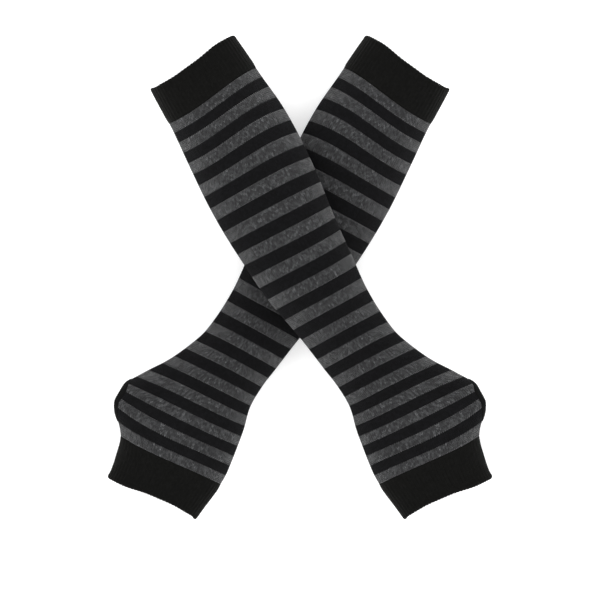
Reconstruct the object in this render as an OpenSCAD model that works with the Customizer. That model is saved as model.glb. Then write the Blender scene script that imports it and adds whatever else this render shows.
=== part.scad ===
// A pair of long fingerless gloves, knitted in the round in two yarns and laid
// crossed on a flat surface: the left glove lies flat and the right one lies over it.
// X runs across the pair, Y from the fingers to the arm, Z up from the surface.
// Each glove is a tube that is described along its own axis by a table of stations.

/* [Glove lengths] */
// Length of one glove, from the arm edge to the hand edge
glove_len = 361; // [300:1:420]
// Depth of the turned cuff at the arm edge
arm_cuff_len = 28.5; // [20:0.5:36]
// Depth of the turned cuff at the hand edge
hand_cuff_len = 28.5; // [20:0.5:36]

/* [Glove widths] */
// Width across the arm edge
arm_edge_w = 72; // [58:1:90]
// Greatest width, over the forearm
forearm_w = 79.5; // [64:1:98]
// Width at the wrist
wrist_w = 57.5; // [47:0.5:70]
// Width across the knuckles
knuckle_w = 73; // [60:1:90]
// Width across the hand edge
hand_edge_w = 69.5; // [57:0.5:86]
// Reach of the thumb bulge, from the glove's axis to the edge of the thumb opening
thumb_reach = 60; // [50:0.5:73]

/* [Glove depths] */
// Depth of the tube at the arm edge, top to bottom
arm_edge_d = 46; // [38:1:58]
// Depth over the forearm
forearm_d = 49; // [40:1:60]
// Depth where the two gloves cross
crossing_d = 37; // [30:1:46]
// Depth at the wrist
wrist_d = 34; // [28:1:42]
// Depth across the thumb bulge
thumb_d = 33; // [27:1:40]
// Depth at the hand edge
hand_edge_d = 28; // [23:1:35]

/* [Stripes] */
// Number of grey stripes
grey_stripes = 18; // [18:1:18]
// Share of each grey and black pair that is grey
grey_share = 0.49; // [0.35:0.01:0.65]
// How much further apart the stripes are over the forearm than at the hand cuff
stripe_stretch = 1.39; // [1:0.01:1.6]
// How much further apart the stripes are at the arm cuff than at the hand cuff
arm_stretch = 1.04; // [0.9:0.01:1.2]

/* [Knit layers] */
// Thickness of the body yarn layer
body_yarn_t = 1.0; // [0.6:0.1:1.6]
// Thickness of the elastic plating layer inside the body yarn
plating_t = 0.7; // [0.5:0.1:1.2]
// Thickness of each of a cuff's two layers
cuff_layer_t = 1.2; // [0.8:0.1:1.6]
// Room between a cuff's two layers, where its elastic lies
cuff_gap = 0.9; // [0.7:0.1:1.4]
// How far a cuff stands proud of the sleeve
cuff_proud = 0.6; // [0.3:0.1:0.9]
// Diameter of an elastic yarn
elastic_d = 0.6; // [0.3:0.1:0.65]
// Elastic yarns in each cuff
elastic_count = 4; // [2:1:6]
// Diameter of the chain stitch that links a cuff's inner layer to the sleeve
linking_d = 0.9; // [0.6:0.1:1]

/* [Thumb opening] */
// Distance from the hand edge to the middle of the opening
thumb_from_edge = 49; // [47:0.5:52]
// Length of the cut edge, along the glove
thumb_cut_len = 26; // [22:0.5:29]
// Depth of the cut edge, top to bottom
thumb_cut_d = 19; // [16:0.5:20]
// Lean of the opening towards the fingers
thumb_lean = 17; // [12:1:22]
// How far the binding reaches over the fabric
binding_w = 3; // [2:0.1:3.5]
// Thickness of the binding
binding_t = 0.7; // [0.5:0.1:1]
// Thickness of the overlock stitches inside the binding
overlock_t = 0.7; // [0.5:0.1:1]

/* [Crossing] */
// Angle between each glove and the Y axis
lay_angle = 30.5; // [26:0.5:36]
// Distance of the arm edge's middle from the pair's middle plane
arm_edge_x = 78; // [66:1:92]
// Free height between the two gloves where they cross
crossing_gap = 1.0; // [0.4:0.1:3]

/* [Hidden] */
SIDES = ["left", "right"];
PIECES = [
    "arm_cuff", "arm_cuff_elastic", "arm_cuff_linking",
    "forearm_grey_bands", "forearm_black_bands", "forearm_plating",
    "wrist_grey_bands", "wrist_black_bands", "wrist_plating",
    "hand_grey_bands", "hand_black_bands", "hand_plating",
    "thumb_binding", "thumb_overlock",
    "hand_cuff", "hand_cuff_elastic", "hand_cuff_linking"
];

black_yarn = [0.105, 0.107, 0.105];
grey_yarn = [0.27, 0.272, 0.275];
elastic_yarn = [0.62, 0.60, 0.55];
thread = [0.16, 0.16, 0.165];

around = 20;             // points round the tube
join_gap = 0.15;         // clearance between neighbouring threads and layers
flat_sink = 0.7;         // how far the tube flattens where it lies on the surface

// ---- Stripes: band 0 is the first grey one, and odd bands are black ----
band_count = 2 * grey_stripes - 1;
stretch_peak = 3.5;      // where the stripes are furthest apart, in pairs of stripes
sleeve_end = glove_len - hand_cuff_len;

function pair_pitch(k) = k < stretch_peak
    ? arm_stretch + (stripe_stretch - arm_stretch) * k / stretch_peak
    : stripe_stretch - (stripe_stretch - 1) * (k - stretch_peak) / (grey_stripes - 1 - stretch_peak);
function band_share(m) = pair_pitch(floor(m / 2)) * (m % 2 == 0 ? grey_share : 1 - grey_share);
function share_before(m) = m == 0 ? 0 : share_before(m - 1) + band_share(m - 1);
share_total = share_before(band_count);
BAND_EDGES = [for (m = [0:band_count])
    arm_cuff_len + (sleeve_end - arm_cuff_len) * share_before(m) / share_total];

first_wrist_band = 21;   // the wrist section bends, and is four bands long
first_hand_band = 25;
first_thumb_band = 28;   // the binding lies on the bands from here to the hand cuff

wrist_at = (BAND_EDGES[first_wrist_band] + BAND_EDGES[first_hand_band]) / 2;
thumb_at = glove_len - thumb_from_edge;
crossing_at = arm_edge_x / sin(lay_angle);

// ---- Stations along the axis ----
// Reach to the little finger's side and to the thumb's side, half depth, bluntness of
// the thumb side, and how the knitted courses lie: their slope, and then their bow and
// their sway, which are how far they have curved away at 40 mm from the axis
PLACE = 0;
LITTLE = 1;
THUMB = 2;
HALF = 3;
BLUNT = 4;
SLOPE = 5;
BOW = 6;
SWAY = 7;
wrist_run = wrist_at - crossing_at;      // from the crossing to the wrist
cuff_run = sleeve_end + 5 - thumb_at;    // from the thumb opening into the hand cuff
STATIONS = [
    [0, arm_edge_w * 0.474, arm_edge_w * 0.51, arm_edge_d / 2, 2.3, -0.136, -2.2, 4.9],
    [arm_cuff_len + 3, arm_edge_w * 0.491, arm_edge_w * 0.543, arm_edge_d / 2 + 0.7, 2.3, -0.112, -1.6, 3.4],
    [61, forearm_w * 0.48, forearm_w * 0.516, forearm_d / 2, 2.3, -0.082, 0.7, 3.8],
    [100, forearm_w * 0.52, forearm_w * 0.49, forearm_d * 0.42, 2.3, 0.03, 1.35, 1],
    [crossing_at - 10, forearm_w * 0.507, forearm_w * 0.417, crossing_d / 2, 2.3, 0.055, -0.9, -0.6],
    [crossing_at + wrist_run * 0.244, forearm_w * 0.483, forearm_w * 0.372, crossing_d / 2, 2.3, 0.037, -1.2, -0.8],
    [wrist_at - wrist_run * 0.391, wrist_w * 0.577, wrist_w * 0.459, (crossing_d + wrist_d) / 4, 2.3, 0.038, -0.1, -0.7],
    [wrist_at, wrist_w * 0.502, wrist_w * 0.49, wrist_d / 2, 2.3, 0.03, 1.3, 1.6],
    [wrist_at + 15, wrist_w * 0.468, wrist_w * 0.568, wrist_d / 2, 2.3, 0.05, 1.5, 0],
    [thumb_at - 42, knuckle_w * 0.37, thumb_reach * 0.678, thumb_d / 2, 2.5, 0.06, 0.4, 0.8],
    [thumb_at - 26, knuckle_w * 0.425, thumb_reach * 0.85, thumb_d / 2, 2.8, 0.072, -0.5, 1.2],
    [thumb_at - 11, knuckle_w * 0.46, thumb_reach * 0.985, thumb_d / 2, 4, 0.087, -0.8, 0.2],
    [thumb_at + 3, knuckle_w * 0.49, thumb_reach, thumb_d / 2, 4.5, 0.108, -1, -1.2],
    [thumb_at + cuff_run * 0.35, knuckle_w * 0.5, thumb_reach * 0.955, thumb_d * 0.49, 4, 0.115, -0.8, -1.5],
    [thumb_at + cuff_run * 0.667, knuckle_w * 0.503, knuckle_w * 0.658, thumb_d * 0.475, 3, 0.12, -0.5, -1.5],
    [sleeve_end + 5, knuckle_w * 0.495, knuckle_w * 0.572, thumb_d * 0.455, 2.5, 0.128, 0.3, -1.8],
    [glove_len - 12, knuckle_w * 0.477, knuckle_w * 0.521, hand_edge_d / 2 + 0.5, 2.3, 0.15, 1.8, -3.2],
    [glove_len, hand_edge_w * 0.486, hand_edge_w * 0.512, hand_edge_d / 2, 2.3, 0.172, 3.3, -4.5]
];
LAST = len(STATIONS) - 1;
little_side_bluntness = 2.3;
bow_at = 40;

// Rate of change of column c at station i, and a smooth curve through the stations
function rate(i, c) = let (a = max(i - 1, 0), b = min(i + 1, LAST))
    (STATIONS[b][c] - STATIONS[a][c]) / (STATIONS[b][PLACE] - STATIONS[a][PLACE]);
function station_before(s, i = 0) =
    i >= LAST - 1 || s < STATIONS[i + 1][PLACE] ? i : station_before(s, i + 1);
function curve(s, c) = let (
        i = station_before(s),
        span = STATIONS[i + 1][PLACE] - STATIONS[i][PLACE],
        t = (min(max(s, 0), glove_len) - STATIONS[i][PLACE]) / span
    )
    (2 * pow(t, 3) - 3 * t * t + 1) * STATIONS[i][c]
    + (pow(t, 3) - 2 * t * t + t) * span * rate(i, c)
    + (3 * t * t - 2 * pow(t, 3)) * STATIONS[i + 1][c]
    + (pow(t, 3) - t * t) * span * rate(i + 1, c);

// ---- The crossing: the right glove rises over the left one ----
crossing_rise = 2 * curve(crossing_at, HALF) + crossing_gap;
ARM_RUN = [crossing_at - 2, 0.15];       // length of the fall towards the arm, and the
HAND_RUN = [165, 0.05];                  // share of it that stays level, and so on
function rise(s) = let (
        run = s < crossing_at ? ARM_RUN : HAND_RUN,
        t = abs(s - crossing_at) / run[0],
        fall = min(max(t - run[1], 0) / (1 - run[1]), 1)
    )
    crossing_rise * pow(cos(90 * fall), 2);

// ---- The tube's surface, in the glove's own axes: [along, across, up] ----
// Where the course that crosses the axis at s lies, at a distance across
function course_along(s, across) = let (t = across / bow_at)
    s + curve(s, SLOPE) * across + curve(s, BOW) * t * t + curve(s, SWAY) * t * t * t;
function middle_height(s) = curve(s, HALF) + cuff_proud - flat_sink;
function power(x, n) = sign(x) * pow(abs(x), 2 / n);

// Angle a goes round the tube: 0 at the thumb, 90 on top. Depth goes inwards from
// the sleeve's outer face
function tube_point(s, a, depth, raised) = let (
        thumb_side = cos(a) > 0,
        n = thumb_side ? curve(s, BLUNT) : little_side_bluntness,
        side = thumb_side ? THUMB : LITTLE,
        part = power(cos(a), n),
        reach = curve(course_along(s, part * curve(s, side)), side) - depth,
        along = course_along(s, part * reach),
        up = middle_height(s) + (curve(s, HALF) - depth) * power(sin(a), n)
    )
    [along, part * reach, max(up, cuff_proud + depth) + (raised ? rise(along) : 0)];

// From the glove's axes to the pair's
function placed(p, raised) = let (side = raised ? 1 : -1)
    [
        side * (-arm_edge_x + p[0] * sin(lay_angle) + p[1] * cos(lay_angle)),
        pair_y - p[0] * cos(lay_angle) + p[1] * sin(lay_angle),
        p[2]
    ];
function farthest_y(s, way) = max([for (j = [0:around - 1])
    let (p = tube_point(s, 360 * j / around, -cuff_proud, false))
    way * (p[1] * sin(lay_angle) - p[0] * cos(lay_angle))]);
pair_y = (farthest_y(glove_len, -1) - farthest_y(0, 1)) / 2;

// Sweeps a closed outline of [s, depth] points round the tube. The outline runs
// along the outer face first, and the faces of the mirrored glove are turned over.
// Every quad is split the same way, so that layers which share a surface share its facets
function runs_forward(p, q) = q[0] > p[0] || (q[0] == p[0] && q[1] > p[1]);
module ring(outline, raised) {
    n = len(outline);
    points = [for (j = [0:around - 1]) for (q = outline)
        placed(tube_point(q[0], 360 * j / around, q[1], raised), raised)];
    quads = [for (j = [0:around - 1]) for (i = [0:n - 1])
        let (k = (j + 1) % around, m = (i + 1) % n)
        runs_forward(outline[i], outline[m])
            ? [j * n + i, j * n + m, k * n + m, k * n + i]
            : [j * n + m, k * n + m, k * n + i, j * n + i]];
    polyhedron(
        points,
        [for (q = quads) each raised
            ? [[q[0], q[1], q[2]], [q[0], q[2], q[3]]]
            : [[q[2], q[1], q[0]], [q[3], q[2], q[0]]]],
        convexity = 6
    );
}

function reversed(list) = [for (i = [len(list) - 1:-1:0]) list[i]];

// A layer of fabric between two depths, with a ring at each of the given stops
module layer(stops, outer, inner, raised) {
    ring(concat([for (s = stops) [s, outer]], [for (s = reversed(stops)) [s, inner]]), raised);
}

// A thread laid round the tube
module thread_ring(s, depth, diameter, raised) {
    r = diameter / 2;
    ring([[s - r, depth - r * 0.6], [s + r, depth - r * 0.6], [s, depth + r]], raised);
}

// ---- Stripes and plating ----
fabric_t = body_yarn_t + plating_t;
module bands(first, end, raised) {
    for (m = [first:2:end - 1])
        layer([BAND_EDGES[m], BAND_EDGES[m + 1]], 0, body_yarn_t, raised);
}
module plating(first, end, raised) {
    layer([for (m = [first:end]) BAND_EDGES[m]], body_yarn_t, fabric_t, raised);
}

// ---- Thumb opening: a rounded slot cut through the thumb's side ----
thumb_across = thumb_reach * 0.9;
module at_thumb(raised) {
    height = middle_height(thumb_at) + (raised ? rise(thumb_at) : 0);
    translate(placed([thumb_at, thumb_across, height], raised))
        rotate([0, 90, raised ? lay_angle - thumb_lean : 180 - lay_angle + thumb_lean])
        children();
}
// A bar through the opening, grown past the cut edge all round
module thumb_bar(grow, raised) {
    long = thumb_cut_len + 2 * grow;
    deep = thumb_cut_d + 2 * grow;
    at_thumb(raised) translate([0, 0, -12]) linear_extrude(height = 30) {
        for (end = [-1, 1])
            translate([0, end * (long - deep) / 2]) circle(d = deep, $fn = 32);
        square([deep, long - deep], center = true);
    }
}
module thumb_layer(outer, inner, raised) {
    layer([for (m = [first_thumb_band:band_count]) BAND_EDGES[m]], outer, inner, raised);
}

// ---- Cuffs: a doubled layer, turned at the open edge ----
// The outline of a turned cuff whose fold is at s = fold and whose layers end at s = open
function elastic_places(fold, open) = let (
        way = open > fold ? 1 : -1,
        first = fold + way * (cuff_layer_t + elastic_d),
        last = open - way * elastic_d * 2
    )
    [for (i = [0:elastic_count - 1]) first + (last - first) * (i + 0.5) / elastic_count];
module turned_cuff(fold, open, inner_open, raised) {
    way = open > fold ? 1 : -1;
    t = cuff_layer_t;
    out = -cuff_proud;
    mid = (fold + open) / 2;
    stops = elastic_places(fold, open);
    profile = concat(
        [[fold + way * 1.2, out], [mid, out], [open, out], [open, out + t]],
        [for (s = reversed(stops)) [s, out + t]],
        [[fold + way * t, out + t], [fold + way * t, out + t + cuff_gap]],
        [for (s = stops) [s, out + t + cuff_gap]],
        [[inner_open, out + t + cuff_gap], [inner_open, out + 2 * t + cuff_gap]],
        [[mid, out + 2 * t + cuff_gap], [fold + way * 1.2, out + 2 * t + cuff_gap]],
        [[fold, out + 2 * t], [fold, out + cuff_gap]]
    );
    ring(way > 0 ? profile : reversed(profile), raised);
}
inner_layer_end = linking_d + join_gap;  // the inner layer stops short of the chain stitch

module cuff_elastic(fold, open, raised) {
    depth = -cuff_proud + cuff_layer_t + cuff_gap / 2;
    for (s = elastic_places(fold, open)) thread_ring(s, depth, elastic_d, raised);
}
module cuff_linking(open, way, raised) {
    depth = -cuff_proud + 1.5 * cuff_layer_t + cuff_gap;
    thread_ring(open - way * linking_d / 2, depth, linking_d, raised);
}

// ---- One module per sub-part, for either glove ----
module arm_cuff(raised) color(black_yarn)
    turned_cuff(0, arm_cuff_len, arm_cuff_len - inner_layer_end, raised);
module arm_cuff_elastic(raised) color(elastic_yarn) cuff_elastic(0, arm_cuff_len, raised);
module arm_cuff_linking(raised) color(thread) cuff_linking(arm_cuff_len, 1, raised);

module forearm_grey_bands(raised) color(grey_yarn) bands(0, first_wrist_band, raised);
module forearm_black_bands(raised) color(black_yarn) bands(1, first_wrist_band, raised);
module forearm_plating(raised) color(thread) plating(0, first_wrist_band, raised);

module wrist_grey_bands(raised) color(grey_yarn)
    bands(first_wrist_band + 1, first_hand_band, raised);
module wrist_black_bands(raised) color(black_yarn)
    bands(first_wrist_band, first_hand_band, raised);
module wrist_plating(raised) color(thread) plating(first_wrist_band, first_hand_band, raised);

module hand_grey_bands(raised) color(grey_yarn) difference() {
    bands(first_hand_band + 1, band_count, raised);
    thumb_bar(0, raised);
}
module hand_black_bands(raised) color(black_yarn) difference() {
    bands(first_hand_band, band_count, raised);
    thumb_bar(0, raised);
}
module hand_plating(raised) color(thread) difference() {
    plating(first_hand_band, band_count, raised);
    thumb_bar(0, raised);
}
// The binding is folded over the cut edge, outside and inside
module thumb_binding(raised) color(black_yarn) difference() {
    intersection() {
        thumb_layer(-binding_t, fabric_t + binding_t, raised);
        thumb_bar(binding_w, raised);
    }
    thumb_bar(-binding_t - join_gap, raised);
    difference() {
        thumb_layer(-join_gap / 2, fabric_t + join_gap / 2, raised);
        thumb_bar(-join_gap, raised);
    }
}
module thumb_overlock(raised) color(thread) difference() {
    inside = fabric_t + binding_t + join_gap;
    intersection() {
        thumb_layer(inside, inside + overlock_t, raised);
        thumb_bar(binding_w, raised);
    }
    thumb_bar(0, raised);
}

module hand_cuff(raised) color(black_yarn)
    turned_cuff(glove_len, sleeve_end, sleeve_end + inner_layer_end, raised);
module hand_cuff_elastic(raised) color(elastic_yarn) cuff_elastic(glove_len, sleeve_end, raised);
module hand_cuff_linking(raised) color(thread) cuff_linking(sleeve_end, -1, raised);

// The left glove lies on the surface, and the right one is raised over it
module piece(name, raised) {
    if (name == "arm_cuff") arm_cuff(raised);
    if (name == "arm_cuff_elastic") arm_cuff_elastic(raised);
    if (name == "arm_cuff_linking") arm_cuff_linking(raised);
    if (name == "forearm_grey_bands") forearm_grey_bands(raised);
    if (name == "forearm_black_bands") forearm_black_bands(raised);
    if (name == "forearm_plating") forearm_plating(raised);
    if (name == "wrist_grey_bands") wrist_grey_bands(raised);
    if (name == "wrist_black_bands") wrist_black_bands(raised);
    if (name == "wrist_plating") wrist_plating(raised);
    if (name == "hand_grey_bands") hand_grey_bands(raised);
    if (name == "hand_black_bands") hand_black_bands(raised);
    if (name == "hand_plating") hand_plating(raised);
    if (name == "thumb_binding") thumb_binding(raised);
    if (name == "thumb_overlock") thumb_overlock(raised);
    if (name == "hand_cuff") hand_cuff(raised);
    if (name == "hand_cuff_elastic") hand_cuff_elastic(raised);
    if (name == "hand_cuff_linking") hand_cuff_linking(raised);
}
for (side = SIDES)
    for (name = PIECES)
        piece(name, side == "right");
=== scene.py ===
"""The looks of a crossed pair of long, striped, knitted fingerless gloves.

Each glove is a tube knitted in the round in a heather grey and a black yarn, with an
elastic plating yarn on its inside, a turned rib cuff at each end and a bound thumb
opening. The left glove lies flat, and the right one lies over it. Sizes are in
millimetres until a mesh is made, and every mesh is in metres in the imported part's frame.
"""

from __future__ import annotations

import logging
import math
from dataclasses import dataclass, field
from enum import Enum
from functools import cached_property

import bpy
import numpy as np
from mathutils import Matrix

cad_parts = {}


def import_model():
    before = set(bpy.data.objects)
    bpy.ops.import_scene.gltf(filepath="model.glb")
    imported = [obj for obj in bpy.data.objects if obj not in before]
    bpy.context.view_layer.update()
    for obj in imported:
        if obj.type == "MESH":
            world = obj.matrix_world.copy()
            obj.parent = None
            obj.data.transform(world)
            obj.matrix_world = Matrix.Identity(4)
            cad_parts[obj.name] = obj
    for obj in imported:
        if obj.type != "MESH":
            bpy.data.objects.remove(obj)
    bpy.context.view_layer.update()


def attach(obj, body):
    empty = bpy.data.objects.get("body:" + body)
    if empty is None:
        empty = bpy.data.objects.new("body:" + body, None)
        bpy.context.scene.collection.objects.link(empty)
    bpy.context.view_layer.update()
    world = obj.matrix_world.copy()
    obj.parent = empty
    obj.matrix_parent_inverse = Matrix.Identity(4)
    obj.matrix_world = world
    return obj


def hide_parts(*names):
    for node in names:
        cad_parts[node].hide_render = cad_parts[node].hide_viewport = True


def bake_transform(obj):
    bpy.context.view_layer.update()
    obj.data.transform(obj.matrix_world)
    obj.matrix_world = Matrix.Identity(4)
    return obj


LOG = logging.getLogger("gloves")
MM = 0.001
TURN = 2 * math.pi
COURSE_HEIGHT = 1.2
THREAD_SIDES = 8


class Side(Enum):
    """Which hand a glove is for, with the sign of its side of the pair."""

    LEFT = -1
    RIGHT = 1

    @property
    def word(self) -> str:
        """The side's name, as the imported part's nodes spell it."""
        return self.name.lower()


class Zone(Enum):
    """The sections of a sleeve, as their first and last stripe band."""

    FOREARM = (0, 21)
    WRIST = (21, 25)
    HAND = (25, 35)

    @property
    def word(self) -> str:
        """The zone's name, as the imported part's nodes spell it."""
        return self.name.lower()


class Column(Enum):
    """What each column of the station table holds."""

    PLACE = 0
    LITTLE = 1
    THUMB = 2
    HALF = 3
    BLUNT = 4
    SLOPE = 5
    BOW = 6
    SWAY = 7


# ---------------------------------------------------------------- shape of a glove


@dataclass(frozen=True)
class GloveForm:
    """The glove's tube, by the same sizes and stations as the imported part, in mm."""

    glove_len: float = 361.0
    arm_cuff_len: float = 28.5
    hand_cuff_len: float = 28.5
    arm_edge_w: float = 72.0
    forearm_w: float = 79.5
    wrist_w: float = 57.5
    knuckle_w: float = 73.0
    hand_edge_w: float = 69.5
    thumb_reach: float = 60.0
    arm_edge_d: float = 46.0
    forearm_d: float = 49.0
    crossing_d: float = 37.0
    wrist_d: float = 34.0
    thumb_d: float = 33.0
    hand_edge_d: float = 28.0
    grey_stripes: int = 18
    grey_share: float = 0.49
    stripe_stretch: float = 1.39
    arm_stretch: float = 1.04
    stretch_peak: float = 3.5
    body_yarn_t: float = 1.0
    plating_t: float = 0.7
    cuff_proud: float = 0.6
    flat_sink: float = 0.7
    lay_angle: float = 30.5
    arm_edge_x: float = 78.0
    crossing_gap: float = 1.0
    hand_run: float = 165.0
    arm_level: float = 0.15
    hand_level: float = 0.05
    thumb_from_edge: float = 49.0
    thumb_cut_len: float = 26.0
    thumb_cut_d: float = 19.0
    thumb_lean: float = 17.0
    little_blunt: float = 2.3
    bow_at: float = 40.0
    softness: float = 0.22
    packed_sides: int = 20
    search_rounds: int = 14
    search_step: float = 0.8
    search_ahead: float = 6.0

    @property
    def sleeve_end(self) -> float:
        """Where the stripes end and the hand cuff begins."""
        return self.glove_len - self.hand_cuff_len

    @property
    def fabric_t(self) -> float:
        """Thickness of body yarn and plating together."""
        return self.body_yarn_t + self.plating_t

    @property
    def crossing_at(self) -> float:
        """Where along each glove the two cross."""
        return self.arm_edge_x / math.sin(math.radians(self.lay_angle))

    @property
    def thumb_at(self) -> float:
        """Where along the glove the middle of the thumb opening is."""
        return self.glove_len - self.thumb_from_edge

    @property
    def thumb_across(self) -> float:
        """How far from the axis the thumb opening's plane is."""
        return self.thumb_reach * 0.9

    @cached_property
    def band_edges(self) -> np.ndarray:
        """Where each stripe band begins along the glove, and where the last one ends."""
        last = self.grey_stripes - 1
        shares = []
        for band in range(2 * self.grey_stripes - 1):
            pair = band // 2
            if pair < self.stretch_peak:
                least, part = self.arm_stretch, pair / self.stretch_peak
            else:
                least, part = 1.0, (last - pair) / (last - self.stretch_peak)
            pitch = least + (self.stripe_stretch - least) * part
            shares.append(pitch * (self.grey_share if band % 2 == 0 else 1 - self.grey_share))
        along = np.concatenate([[0.0], np.cumsum(shares)]) / sum(shares)
        return self.arm_cuff_len + (self.sleeve_end - self.arm_cuff_len) * along

    @property
    def wrist_at(self) -> float:
        """Where along the glove the wrist bends."""
        first, end = Zone.WRIST.value
        return float(self.band_edges[first] + self.band_edges[end]) / 2

    @cached_property
    def stations(self) -> np.ndarray:
        """The station table: one row per place, one column per Column."""
        length, sleeve, cuff = self.glove_len, self.sleeve_end, self.arm_cuff_len
        cross, wrist, thumb = self.crossing_at, self.wrist_at, self.thumb_at
        arm_w, fore_w, wrist_w = self.arm_edge_w, self.forearm_w, self.wrist_w
        knuckle_w, reach, edge_w = self.knuckle_w, self.thumb_reach, self.hand_edge_w
        arm_h, fore_h, cross_h = self.arm_edge_d / 2, self.forearm_d / 2, self.crossing_d / 2
        wrist_h, thumb_h, hand_h = self.wrist_d / 2, self.thumb_d / 2, self.hand_edge_d / 2
        neck_h, side_w = (cross_h + wrist_h) / 2, knuckle_w * 0.658
        wrist_run, cuff_run = wrist - cross, sleeve + 5 - thumb
        return np.array([
            [0, arm_w * 0.474, arm_w * 0.51, arm_h, 2.3, -0.136, -2.2, 4.9],
            [cuff + 3, arm_w * 0.491, arm_w * 0.543, arm_h + 0.7, 2.3, -0.112, -1.6, 3.4],
            [61, fore_w * 0.48, fore_w * 0.516, fore_h, 2.3, -0.082, 0.7, 3.8],
            [100, fore_w * 0.52, fore_w * 0.49, fore_h * 0.84, 2.3, 0.03, 1.35, 1],
            [cross - 10, fore_w * 0.507, fore_w * 0.417, cross_h, 2.3, 0.055, -0.9, -0.6],
            [cross + wrist_run * 0.244, fore_w * 0.483, fore_w * 0.372, cross_h, 2.3, 0.037, -1.2, -0.8],
            [wrist - wrist_run * 0.391, wrist_w * 0.577, wrist_w * 0.459, neck_h, 2.3, 0.038, -0.1, -0.7],
            [wrist, wrist_w * 0.502, wrist_w * 0.49, wrist_h, 2.3, 0.03, 1.3, 1.6],
            [wrist + 15, wrist_w * 0.468, wrist_w * 0.568, wrist_h, 2.3, 0.05, 1.5, 0],
            [thumb - 42, knuckle_w * 0.37, reach * 0.678, thumb_h, 2.5, 0.06, 0.4, 0.8],
            [thumb - 26, knuckle_w * 0.425, reach * 0.85, thumb_h, 2.8, 0.072, -0.5, 1.2],
            [thumb - 11, knuckle_w * 0.46, reach * 0.985, thumb_h, 4, 0.087, -0.8, 0.2],
            [thumb + 3, knuckle_w * 0.49, reach, thumb_h, 4.5, 0.108, -1, -1.2],
            [thumb + cuff_run * 0.35, knuckle_w * 0.5, reach * 0.955, thumb_h * 0.98, 4, 0.115, -0.8, -1.5],
            [thumb + cuff_run * 0.667, knuckle_w * 0.503, side_w, thumb_h * 0.95, 3, 0.12, -0.5, -1.5],
            [sleeve + 5, knuckle_w * 0.495, knuckle_w * 0.572, thumb_h * 0.91, 2.5, 0.128, 0.3, -1.8],
            [length - 12, knuckle_w * 0.477, knuckle_w * 0.521, hand_h + 0.5, 2.3, 0.15, 1.8, -3.2],
            [length, edge_w * 0.486, edge_w * 0.512, hand_h, 2.3, 0.172, 3.3, -4.5],
        ], float)

    def curve(self, s: np.ndarray, column: Column) -> np.ndarray:
        """A smooth curve through one column of the station table.

        Args:
            s: places along the glove.
            column: which column to follow.

        Returns:
            The column's value at each place.
        """
        place = self.stations[:, Column.PLACE.value]
        value = self.stations[:, column.value]
        last = len(place) - 1
        before = np.maximum(np.arange(last + 1) - 1, 0)
        after = np.minimum(np.arange(last + 1) + 1, last)
        rate = (value[after] - value[before]) / (place[after] - place[before])
        s = np.clip(s, 0.0, self.glove_len)
        i = np.clip(np.searchsorted(place, s, side="right") - 1, 0, last - 1)
        span = place[i + 1] - place[i]
        t = (s - place[i]) / span
        return (
            (2 * t**3 - 3 * t**2 + 1) * value[i]
            + (t**3 - 2 * t**2 + t) * span * rate[i]
            + (3 * t**2 - 2 * t**3) * value[i + 1]
            + (t**3 - t**2) * span * rate[i + 1]
        )

    def course_along(self, s: np.ndarray, across: np.ndarray) -> np.ndarray:
        """Where a course that crosses the axis at s lies, at a distance across."""
        t = across / self.bow_at
        bend = self.curve(s, Column.BOW) * t**2 + self.curve(s, Column.SWAY) * t**3
        return s + self.curve(s, Column.SLOPE) * across + bend

    def middle_height(self, s: np.ndarray) -> np.ndarray:
        """Height of the tube's middle over what the gloves lie on, before the rise."""
        return self.curve(s, Column.HALF) + self.cuff_proud - self.flat_sink

    @cached_property
    def crossing_rise(self) -> float:
        """How high the right glove rises where it crosses the left one."""
        return float(2 * self.curve(np.array(self.crossing_at), Column.HALF)) + self.crossing_gap

    def rise(self, along: np.ndarray) -> np.ndarray:
        """How far the right glove is lifted at each place along it."""
        arm_side = along < self.crossing_at
        run = np.where(arm_side, self.crossing_at - 2, self.hand_run)
        level = np.where(arm_side, self.arm_level, self.hand_level)
        t = np.abs(along - self.crossing_at) / run
        fall = np.clip((t - level) / (1 - level), 0, 1)
        return self.crossing_rise * np.cos(fall * math.pi / 2) ** 2

    def softening(self, s: np.ndarray, turn: np.ndarray) -> np.ndarray:
        """The uneven swell of a soft fabric: long, shallow waves over the surface."""
        waves = (
            np.sin(s / 9.5 + 2 * turn + 0.4)
            + np.sin(s / 15.0 - 3 * turn + 1.9)
            + np.sin(s / 23.0 + turn + 4.1)
        )
        return self.softness * waves / 3

    def local(self, s: np.ndarray, turn: np.ndarray, depth: np.ndarray, side: Side) -> np.ndarray:
        """Points of the tube in the glove's own axes.

        Args:
            s: place of the course, along the glove's axis.
            turn: angle round the tube, 0 at the thumb and a quarter turn on top.
            depth: distance inwards from the sleeve's outer face.
            side: which glove, because only the right one rises.

        Returns:
            [..., 3] of along, across and up.
        """
        s, turn, depth = np.broadcast_arrays(
            np.asarray(s, float), np.asarray(turn, float), np.asarray(depth, float)
        )
        thumb_side = np.cos(turn) >= 0
        n = np.where(thumb_side, self.curve(s, Column.BLUNT), self.little_blunt)
        cos, sin = np.cos(turn), np.sin(turn)
        radius = (np.abs(cos) ** n + np.abs(sin) ** n) ** (-1 / n)
        part, height = cos * radius, sin * radius
        soft = depth - self.softening(s, turn)

        def side_reach(at: np.ndarray) -> np.ndarray:
            """The reach of whichever side each point is on."""
            return np.where(thumb_side, self.curve(at, Column.THUMB), self.curve(at, Column.LITTLE))

        reach = side_reach(self.course_along(s, part * side_reach(s))) - soft
        across = part * reach
        along = self.course_along(s, across)
        up = self.middle_height(s) + (self.curve(s, Column.HALF) - soft) * height
        up = np.maximum(up, self.cuff_proud + depth)
        if side is Side.RIGHT:
            up = up + self.rise(along)
        return np.stack([along, across, up], -1)

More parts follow.
